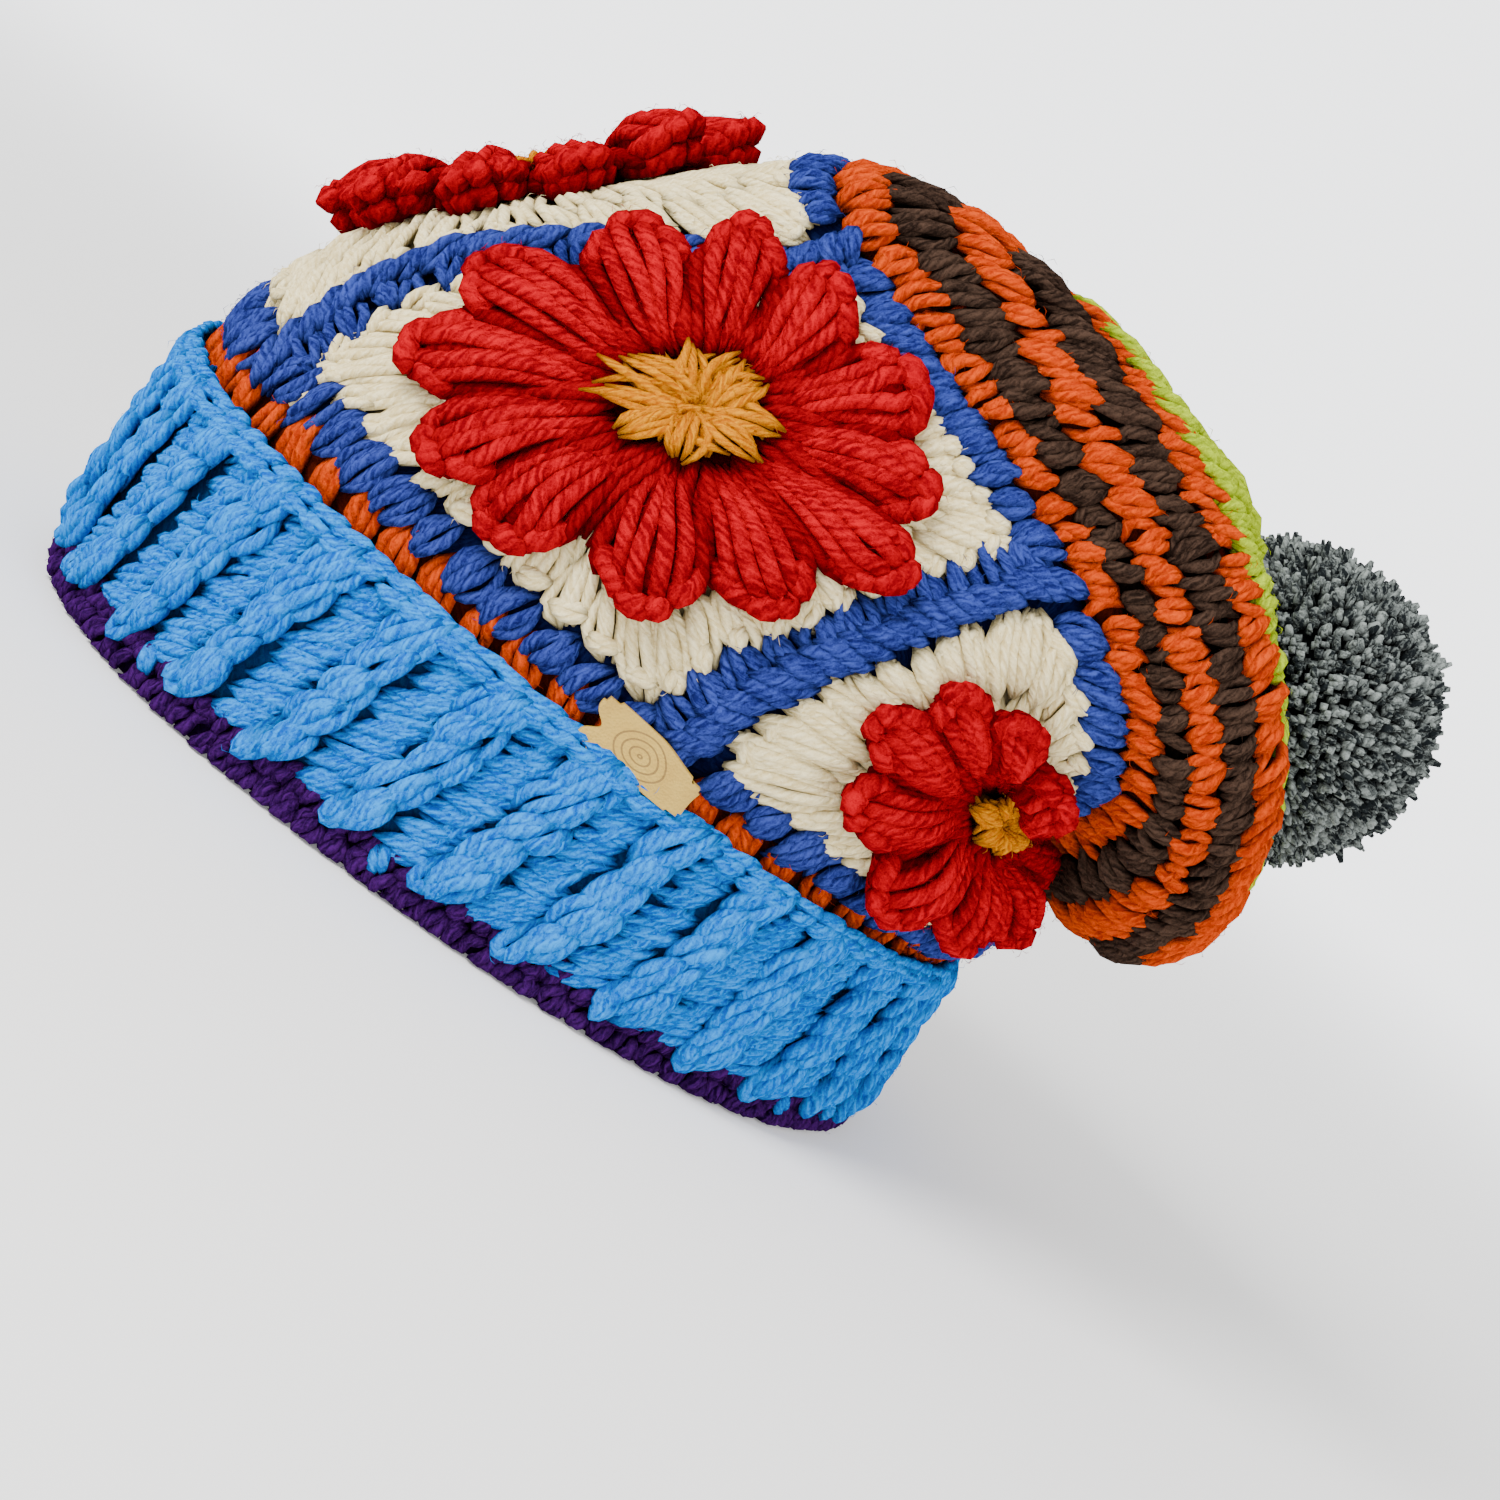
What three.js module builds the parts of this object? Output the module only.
// A crocheted bobble hat: a turned-up ribbed cuff, five flower squares, striped rounds and a pompom.
// Millimetres, +Z up. The rim lies on z = 0, the wearer's front is -X and their left side is -Y.
import * as THREE from 'three';
import { mergeVertices } from 'three/addons/utils/BufferGeometryUtils.js';

// Sizes of the whole hat, measured over the cloth
const HEAD_LENGTH = 194;
const HEAD_WIDTH = 160;
const BODY_HEIGHT = 160;

// Lengths along the cloth, from the rim to the crown's centre
const CUFF_LENGTH = 50;
const BASE_LENGTH = 10;
const SQUARE_LENGTH = 110;
const STRIPE_LENGTH = 11.6;
const CROWN_LENGTH = 58;

// Thicknesses of the cloth and how far things stand off it
const CLOTH = 4.5;
const CUFF_CLOTH = 8;
const RIB_RELIEF = 2;
const FOLD_LENGTH = 9;
const FOLD_INSET = 5;
const BORDER_RELIEF = 1.5;
const PETAL_LIFT = 3.5;
const PETAL_RELIEF = 5;
const CENTRE_RELIEF = 4.5;

// Counts
const SQUARES = 5;
const PETALS = 12;
const RIBS = 30;

// Widths inside a square, and the pompom and label
const BORDER_WIDTH = 10;
const FLOWER_WIDTH = 84;
const FLOWER_ROOT = 48;
const CENTRE_WIDTH = 27;
const PETAL_NOTCH = 4;
const MAGIC_RING = 5;
const POMPOM_RADIUS = 34;
const POMPOM_LIFT = 2;
const LOCK_RELIEF = 3;
const LABEL_WIDTH = 24;
const LABEL_HEIGHT = 14;
const LABEL_CLOTH = 1.5;
const LABEL_SIDE = 0.25;
const RIB_LEAN = 11;

// Play between two pieces that lie on each other, between two rounds, and between the pieces of a square
const GAP = 0.5;
const SEAM_GAP = 1.4;
const SQUARE_GAP = 0.8;

const RIGHT_ANGLE = Math.PI / 2;
const TURN = Math.PI * 2;
const STEP = 5;

// Where each stretch of the cloth starts and how long it is
const STRIPES = ['stripe_orange_1', 'stripe_brown_1', 'stripe_orange_2', 'stripe_brown_2', 'stripe_orange_3'];
const SQUARE_START = CUFF_LENGTH + BASE_LENGTH;
const STRIPE_START = SQUARE_START + SQUARE_LENGTH;
const CROWN_START = STRIPE_START + STRIPES.length * STRIPE_LENGTH;
const CROWN_END = CROWN_START + CROWN_LENGTH;
const STRETCHES = {
  cuff: [0, CUFF_LENGTH],
  square: [SQUARE_START, SQUARE_LENGTH],
  stripes: [STRIPE_START, CROWN_START - STRIPE_START],
  crown: [CROWN_START, CROWN_LENGTH],
};

// One row for each loop round the hat, with the point where it crosses the front, the side and the back.
// x is a share of half the head's length, y of half its width and z of the body's height.
// Fullness squares the loop's plan a little, and skew slides its corners toward the front or the back.
const COLUMNS = ['frontX', 'frontZ', 'sideX', 'sideY', 'sideZ', 'backX', 'backZ', 'fullness', 'skew'];
const SECTIONS = [
  ['cuff', 0.00, -1.00, 0.00, 0.00, 1.00, 0.00, 1.00, 0.00, 0.03, 0.00],
  ['cuff', 1.00, -0.99, 0.32, 0.00, 1.00, 0.29, 0.97, 0.25, 0.03, 0.00],
  ['square', 0.00, -0.97, 0.39, 0.00, 1.00, 0.34, 1.00, 0.29, 0.03, 0.00],
  ['square', 0.25, -0.87, 0.56, 0.08, 1.00, 0.49, 1.05, 0.37, 0.04, 0.00],
  ['square', 0.50, -0.63, 0.74, 0.23, 0.95, 0.62, 0.97, 0.43, 0.05, -0.08],
  ['square', 0.75, -0.35, 0.88, 0.37, 0.85, 0.72, 0.88, 0.46, 0.06, -0.26],
  ['square', 1.00, -0.06, 0.98, 0.48, 0.77, 0.82, 0.95, 0.49, 0.07, -0.58],
  ['stripes', 0.40, 0.17, 1.01, 0.65, 0.75, 0.86, 1.12, 0.41, 0.07, -0.58],
  ['stripes', 0.80, 0.40, 0.99, 0.85, 0.70, 0.89, 1.30, 0.41, 0.07, -0.38],
  ['stripes', 1.00, 0.52, 0.97, 0.94, 0.63, 0.89, 1.38, 0.47, 0.06, -0.22],
  ['crown', 0.30, 0.74, 0.95, 1.00, 0.49, 0.88, 1.39, 0.54, 0.03, 0.00],
  ['crown', 0.55, 0.91, 0.88, 1.05, 0.48, 0.80, 1.36, 0.52, 0.03, 0.00],
  ['crown', 0.80, 0.85, 0.72, 1.03, 0.35, 0.62, 1.17, 0.50, 0.03, 0.00],
  ['crown', 0.90, 0.90, 0.65, 1.00, 0.16, 0.61, 1.04, 0.54, 0.00, 0.00],
  ['crown', 1.00, 0.98, 0.61, 0.98, 0.01, 0.61, 0.98, 0.61, 0.00, 0.00],
].map(([stretch, share, ...values]) => ({
  t: STRETCHES[stretch][0] + share * STRETCHES[stretch][1],
  values,
}));

// Slopes of the smooth curves through the sections
const SLOPES = SECTIONS.map((section, i) => {
  const before = SECTIONS[Math.max(i - 1, 0)];
  const after = SECTIONS[Math.min(i + 1, SECTIONS.length - 1)];
  return section.values.map((_, k) => (after.values[k] - before.values[k]) / (after.t - before.t));
});

// The loop at length t along the cloth: each column's smooth value
function loopAt(t) {
  const last = SECTIONS.length - 2;
  const found = SECTIONS.findIndex((section) => section.t > t) - 1;
  const i = found < -1 || found > last ? last : Math.max(found, 0);
  const span = SECTIONS[i + 1].t - SECTIONS[i].t;
  const u = (t - SECTIONS[i].t) / span;
  const rise = u * u * (3 - 2 * u);
  const leave = u * (1 - u) * (1 - u) * span;
  const arrive = u * u * (u - 1) * span;
  const loop = {};
  COLUMNS.forEach((name, k) => {
    const start = SECTIONS[i].values[k];
    const end = SECTIONS[i + 1].values[k];
    loop[name] = start + (end - start) * rise + SLOPES[i][k] * leave + SLOPES[i + 1][k] * arrive;
  });
  return loop;
}

// A point of the cloth's outer face: theta is 0 at the front, a quarter turn at the left side
function clothPoint(theta, t) {
  const loop = loopAt(t);
  const wave = Math.cos(2 * theta);
  const along = (front, side, back) =>
    ((front + back) / 2 + side) / 2 + ((front - back) / 2) * Math.cos(theta) + (((front + back) / 2 - side) / 2) * wave;
  const skew = loop.skew * Math.sin(theta) ** 2 * Math.cos(theta);
  const full = (Math.sin(theta) + loop.fullness * Math.sin(3 * theta)) / (1 - loop.fullness);
  return new THREE.Vector3(
    (along(loop.frontX, loop.sideX, loop.backX) + skew) * HEAD_LENGTH / 2,
    -loop.sideY * full * HEAD_WIDTH / 2,
    along(loop.frontZ, loop.sideZ, loop.backZ) * BODY_HEIGHT,
  );
}

// The direction out of the cloth, level at the rim so that the hat stands on a flat edge
function clothNormal(theta, t) {
  const turn = STEP / (HEAD_LENGTH / 2);
  const low = Math.max(t - STEP, 0);
  const high = Math.min(t + STEP, CROWN_END - MAGIC_RING / 2);
  const across = clothPoint(theta + turn, t).sub(clothPoint(theta - turn, t));
  const along = clothPoint(theta, high).sub(clothPoint(theta, low));
  const normal = across.cross(along).normalize();
  normal.z *= THREE.MathUtils.smoothstep(t, 0, CUFF_LENGTH);
  return normal.normalize();
}

// Bends a solid onto the cloth: place turns each of its points into theta, t and offset
function bend(geometry, place) {
  geometry.deleteAttribute('normal');
  geometry.deleteAttribute('uv');
  const solid = mergeVertices(geometry, 1e-4);
  const position = solid.attributes.position;
  for (let i = 0; i < position.count; i += 1) {
    const { theta, t, offset } = place(new THREE.Vector3().fromBufferAttribute(position, i));
    const point = clothPoint(theta, t).addScaledVector(clothNormal(theta, t), offset);
    position.setXYZ(i, point.x, point.y, point.z);
  }
  return faceOut(solid);
}

// Turns the faces of a closed solid outward
function faceOut(geometry) {
  const position = geometry.attributes.position;
  const index = geometry.index.array;
  const corner = (i) => new THREE.Vector3().fromBufferAttribute(position, index[i]);
  let volume = 0;
  for (let i = 0; i < index.length; i += 3) {
    volume += corner(i).dot(corner(i + 1).cross(corner(i + 2)));
  }
  if (volume < 0) {
    for (let i = 0; i < index.length; i += 3) {
      [index[i], index[i + 1]] = [index[i + 1], index[i]];
    }
  }
  geometry.computeVertexNormals();
  return geometry;
}

// A closed ring spun from a profile of [radius, height] pairs
function ring(profile, segments) {
  const closed = [...profile, profile[0]].map(([radius, height]) => new THREE.Vector2(radius, height));
  return new THREE.LatheGeometry(closed, segments);
}

// The spun rings lie this far out, so that an offset can be taken either side of them
const FAR = 1000;

// A round is cut where the rays from the middle of each square cut the square's edge, so that the two match
function evenWithSquares(theta) {
  const sector = Math.round(theta / (TURN / SQUARES));
  const share = theta / (TURN / SQUARES) - sector;
  return (sector + Math.tan(share * RIGHT_ANGLE) / 2) * TURN / SQUARES;
}

// The front square is eased wide at its crown end and the squares beside it are drawn in, which shifts
// the edges between them by up to this angle. It is shared out over three waves round the hat.
const DRAWN = 0.22;
const DRAWN_WAVES = [0.68, 1, 0.64];
const DRAWN_FROM = SQUARE_START + SQUARE_LENGTH * 0.3;
function drawnIn(theta, t) {
  const rise = THREE.MathUtils.smoothstep(t, DRAWN_FROM, STRIPE_START);
  const fall = THREE.MathUtils.smoothstep(t, STRIPE_START, CROWN_START);
  const waves = DRAWN_WAVES.reduce((sum, height, i) => sum + height * Math.sin((i + 1) * theta), 0);
  return theta + DRAWN * (rise - fall) * waves;
}

// A band right round the hat: its profile holds [offset, t] pairs
function band(profile, segments, follow) {
  const spun = ring(profile.map(([offset, t]) => [FAR + offset, t]), segments);
  return bend(spun, (point) => {
    const theta = Math.atan2(point.z, point.x);
    const offset = Math.hypot(point.x, point.z) - FAR;
    return follow(theta, point.y, offset);
  });
}

const ROUND_SEGMENTS = SQUARES * 8;
const alongSquares = (theta, t, offset) => ({ theta: drawnIn(evenWithSquares(theta), t), t, offset });

// The turned-up cuff's outer layer, with ribs that lean toward the front at the rim
const CUFF_OUTER = CUFF_CLOTH + GAP;

function cuffOuter() {
  const low = FOLD_LENGTH + GAP;
  const rise = (CUFF_LENGTH - low) / 3;
  const profile = [
    [GAP, low],
    [CUFF_OUTER, low],
    [CUFF_OUTER, low + rise],
    [CUFF_OUTER, low + 2 * rise],
    [CUFF_OUTER, CUFF_LENGTH],
    [GAP, CUFF_LENGTH],
  ];
  const lean = RIB_LEAN / (HEAD_LENGTH / 2) / (CUFF_LENGTH - low);
  return band(profile, RIBS * 3, (theta, t, offset) => {
    const rib = offset > GAP * 2 ? RIB_RELIEF / 2 * (Math.cos(theta * RIBS) - 1) : 0;
    return { theta: theta + (t - low) * lean, t, offset: offset + rib };
  });
}

// The inner layer and the fold under the cuff, one piece with a flat bottom edge
function cuffFold() {
  const foldOuter = CUFF_OUTER - FOLD_INSET;
  return band([
    [-CLOTH, 0],
    [foldOuter, 0],
    [foldOuter, FOLD_LENGTH],
    [0, FOLD_LENGTH],
    [0, CUFF_LENGTH - SEAM_GAP],
    [-CLOTH, CUFF_LENGTH - SEAM_GAP],
  ], ROUND_SEGMENTS, alongSquares);
}

// A plain round of crochet between two lengths along the cloth
function plainRound(start, end) {
  const profile = [[-CLOTH, start], [0, start], [0, end - SEAM_GAP], [-CLOTH, end - SEAM_GAP]];
  return band(profile, ROUND_SEGMENTS, alongSquares);
}

// The crown, closed but for the small ring at its centre
function crown() {
  const end = CROWN_END - MAGIC_RING / 2;
  const bends = SECTIONS.map((section) => section.t).filter((t) => t > CROWN_START && t < end);
  const lengths = [CROWN_START, ...bends, end];
  const outer = lengths.map((t) => [0, t]);
  const inner = lengths.map((t) => [-CLOTH, t]).reverse();
  return band([...outer, ...inner], ROUND_SEGMENTS, alongSquares);
}

const HALF_SQUARE = SQUARE_LENGTH / 2 - SEAM_GAP / 2;
const GROUND_EDGE = HALF_SQUARE - BORDER_WIDTH;
const ROOT_EDGE = FLOWER_ROOT / 2;
const SQUARE_SEGMENTS = 32;
const SQUARE_MIDDLE = SQUARE_START + HALF_SQUARE;

// How much the hat stretches a square round the loop and along the cloth, or gathers it at the back
const LEAST_STRETCH = 0.9;
function stretchOf(number) {
  const middle = number * TURN / SQUARES;
  const steps = 12;
  let round = 0;
  let along = 0;
  for (let i = 0; i < steps; i += 1) {
    const from = i / steps - 0.5;
    const to = from + 1 / steps;
    const turn = TURN / SQUARES;
    round += clothPoint(middle + from * turn, SQUARE_MIDDLE).distanceTo(clothPoint(middle + to * turn, SQUARE_MIDDLE));
    const low = clothPoint(middle, SQUARE_MIDDLE + from * SQUARE_LENGTH);
    along += low.distanceTo(clothPoint(middle, SQUARE_MIDDLE + to * SQUARE_LENGTH));
  }
  return {
    round: Math.max(round / SQUARE_LENGTH, LEAST_STRETCH),
    along: Math.max(along / SQUARE_LENGTH, LEAST_STRETCH),
  };
}

const STRETCH = Array.from({ length: SQUARES }, (_, number) => stretchOf(number));

// One piece of a flower square, spun round its middle: the profile holds [radius, offset] pairs.
// The squareness of a radius blends a true circle on the hat into the square that fills its fifth.
// The right side mirrors the left.
function squarePiece(number, profile, segments, squareness, reach = () => 1) {
  const middle = number * TURN / SQUARES;
  const side = number > SQUARES / 2 ? -1 : 1;
  return bend(ring(profile, segments), (point) => {
    const angle = Math.atan2(point.z, point.x);
    const spunRadius = Math.hypot(point.x, point.z);
    const radius = spunRadius * reach(angle, spunRadius);
    const square = squareness(spunRadius);
    const corner = THREE.MathUtils.lerp(1, 1 / Math.max(Math.abs(Math.cos(angle)), Math.abs(Math.sin(angle))), square);
    const round = radius * corner * Math.cos(angle) / THREE.MathUtils.lerp(STRETCH[number].round, 1, square);
    const along = radius * corner * Math.sin(angle) / THREE.MathUtils.lerp(STRETCH[number].along, 1, square);
    const theta = middle + side * round / SQUARE_LENGTH * TURN / SQUARES;
    const t = SQUARE_MIDDLE + along;
    return { theta: THREE.MathUtils.lerp(theta, drawnIn(theta, t), square), t, offset: point.y };
  });
}

const onSquare = () => 1;
const onCircle = () => 0;
const groundSquareness = (radius) => (radius > (ROOT_EDGE + GROUND_EDGE) / 2 ? 1 : 0);

// Rounded petal ends: the radius falls back in the notch between two petals
function petalReach(angle, radius) {
  const share = THREE.MathUtils.clamp((radius - ROOT_EDGE) / (FLOWER_WIDTH / 2 - ROOT_EDGE), 0, 1);
  const notch = 1 - Math.abs(Math.sin(angle * PETALS / 2));
  return 1 - share * notch * PETAL_NOTCH / (FLOWER_WIDTH / 2);
}

function squareBorder(number) {
  return squarePiece(number, [
    [GROUND_EDGE + SQUARE_GAP, -CLOTH],
    [HALF_SQUARE, -CLOTH],
    [HALF_SQUARE, BORDER_RELIEF],
    [GROUND_EDGE + SQUARE_GAP, BORDER_RELIEF],
  ], SQUARE_SEGMENTS, onSquare);
}

function squareGround(number) {
  return squarePiece(number, [
    [ROOT_EDGE + SQUARE_GAP, -CLOTH],
    [GROUND_EDGE, -CLOTH],
    [GROUND_EDGE, 0],
    [ROOT_EDGE + SQUARE_GAP, 0],
  ], SQUARE_SEGMENTS, groundSquareness);
}

// The petals go through the cloth at their roots and stand over the ground at their ends
function squarePetals(number, relief) {
  const inner = CENTRE_WIDTH / 2 + GAP;
  const outer = FLOWER_WIDTH / 2;
  return squarePiece(number, [
    [inner, -CLOTH],
    [ROOT_EDGE, -CLOTH],
    [ROOT_EDGE, PETAL_LIFT],
    [outer, PETAL_LIFT],
    [outer, PETAL_LIFT + relief * 0.6],
    [ROOT_EDGE, PETAL_LIFT + relief],
    [inner, relief * 0.5],
  ], PETALS * 4, onCircle, petalReach);
}

function squareCentre(number, relief) {
  const edge = CENTRE_WIDTH / 2;
  return squarePiece(number, [
    [MAGIC_RING / 2, -CLOTH],
    [edge, -CLOTH],
    [edge, relief * 0.5],
    [MAGIC_RING / 2, relief],
  ], PETALS + 4, onCircle);
}

// A ball of triangles of radius 1 whose twenty sides are split into this many parts, with shared corners
function ballOf(splits) {
  const ball = new THREE.IcosahedronGeometry(1, splits - 1);
  ball.deleteAttribute('normal');
  ball.deleteAttribute('uv');
  return mergeVertices(ball, 1e-4);
}

function cornersOf(geometry) {
  const position = geometry.attributes.position;
  return Array.from({ length: position.count }, (_, i) => new THREE.Vector3().fromBufferAttribute(position, i));
}

// The pompom sits on the crown's centre, pulled down a little, and its yarn ends stand out in pointed locks
const LOCK_SPLITS = 3;
function pompom() {
  const seat = clothPoint(0, CROWN_END);
  const outward = new THREE.Vector3(1, 0, 1).normalize();
  const middle = seat.clone().addScaledVector(outward, POMPOM_RADIUS + POMPOM_LIFT);
  const tips = cornersOf(ballOf(LOCK_SPLITS));
  const closeToTip = 1 / (LOCK_SPLITS * 4);
  const ball = ballOf(LOCK_SPLITS * 2);
  const position = ball.attributes.position;
  cornersOf(ball).forEach((direction, i) => {
    const onTip = tips.some((tip) => tip.distanceTo(direction) < closeToTip);
    const radius = onTip ? POMPOM_RADIUS : POMPOM_RADIUS - LOCK_RELIEF;
    const point = middle.clone().addScaledVector(direction, radius);
    position.setXYZ(i, point.x, point.y, point.z);
  });
  return faceOut(ball);
}

// The label stands on the cuff's top edge, over the side of the ridge between two squares
const LABEL_THETA = 1.5 * TURN / SQUARES;
const LABEL_OFFSET = BORDER_RELIEF + GAP;
function label() {
  const strip = new THREE.BoxGeometry(LABEL_WIDTH, LABEL_CLOTH, LABEL_HEIGHT, 4, 1, 2);
  return bend(strip, (point) => ({
    theta: LABEL_THETA + (point.x - LABEL_WIDTH * LABEL_SIDE) / (HEAD_LENGTH / 2),
    t: CUFF_LENGTH + GAP + LABEL_HEIGHT / 2 + point.z,
    offset: LABEL_OFFSET + LABEL_CLOTH / 2 + point.y,
  }));
}

// Colours of the yarns
const COLOURS = {
  azure: 0x149ae0,
  purple: 0x3c1955,
  orange: 0xe15519,
  brown: 0x4b3c37,
  royal: 0x324baa,
  cream: 0xe1dcc8,
  red: 0xd70a0f,
  ochre: 0xeba51e,
  lime: 0xafcd4b,
  grey: 0x6e7876,
  tan: 0xd7be78,
};

const hat = new THREE.Group();

function add(name, geometry, colour) {
  const material = new THREE.MeshStandardMaterial({ color: COLOURS[colour], roughness: 0.95, metalness: 0 });
  const mesh = new THREE.Mesh(geometry, material);
  mesh.name = name;
  hat.add(mesh);
}

add('cuff_outer', cuffOuter(), 'azure');
add('cuff_fold', cuffFold(), 'purple');
add('base_round', plainRound(CUFF_LENGTH, SQUARE_START), 'orange');

// The squares, from the front round the left side; the two at the back are folded in and lie flatter
const SQUARE_NAMES = ['front', 'left', 'back_left', 'back_right', 'right'];
const FLOWER_SHARES = [1, 1, 0.4, 0.4, 1];
SQUARE_NAMES.forEach((name, number) => {
  add(`border_${name}`, squareBorder(number), 'royal');
  add(`ground_${name}`, squareGround(number), 'cream');
  add(`petals_${name}`, squarePetals(number, PETAL_RELIEF * FLOWER_SHARES[number]), 'red');
  add(`centre_${name}`, squareCentre(number, CENTRE_RELIEF * FLOWER_SHARES[number]), 'ochre');
});

STRIPES.forEach((name, i) => {
  const start = STRIPE_START + i * STRIPE_LENGTH;
  add(name, plainRound(start, start + STRIPE_LENGTH), name.includes('orange') ? 'orange' : 'brown');
});

add('crown', crown(), 'lime');
add('pompom', pompom(), 'grey');
add('label', label(), 'tan');

// The frame's origin is the middle of the hat's box, on the surface that the rim rests on
const box = new THREE.Box3().setFromObject(hat);
const middle = box.getCenter(new THREE.Vector3());
hat.position.set(-middle.x, -middle.y, -box.min.z);

export default hat;
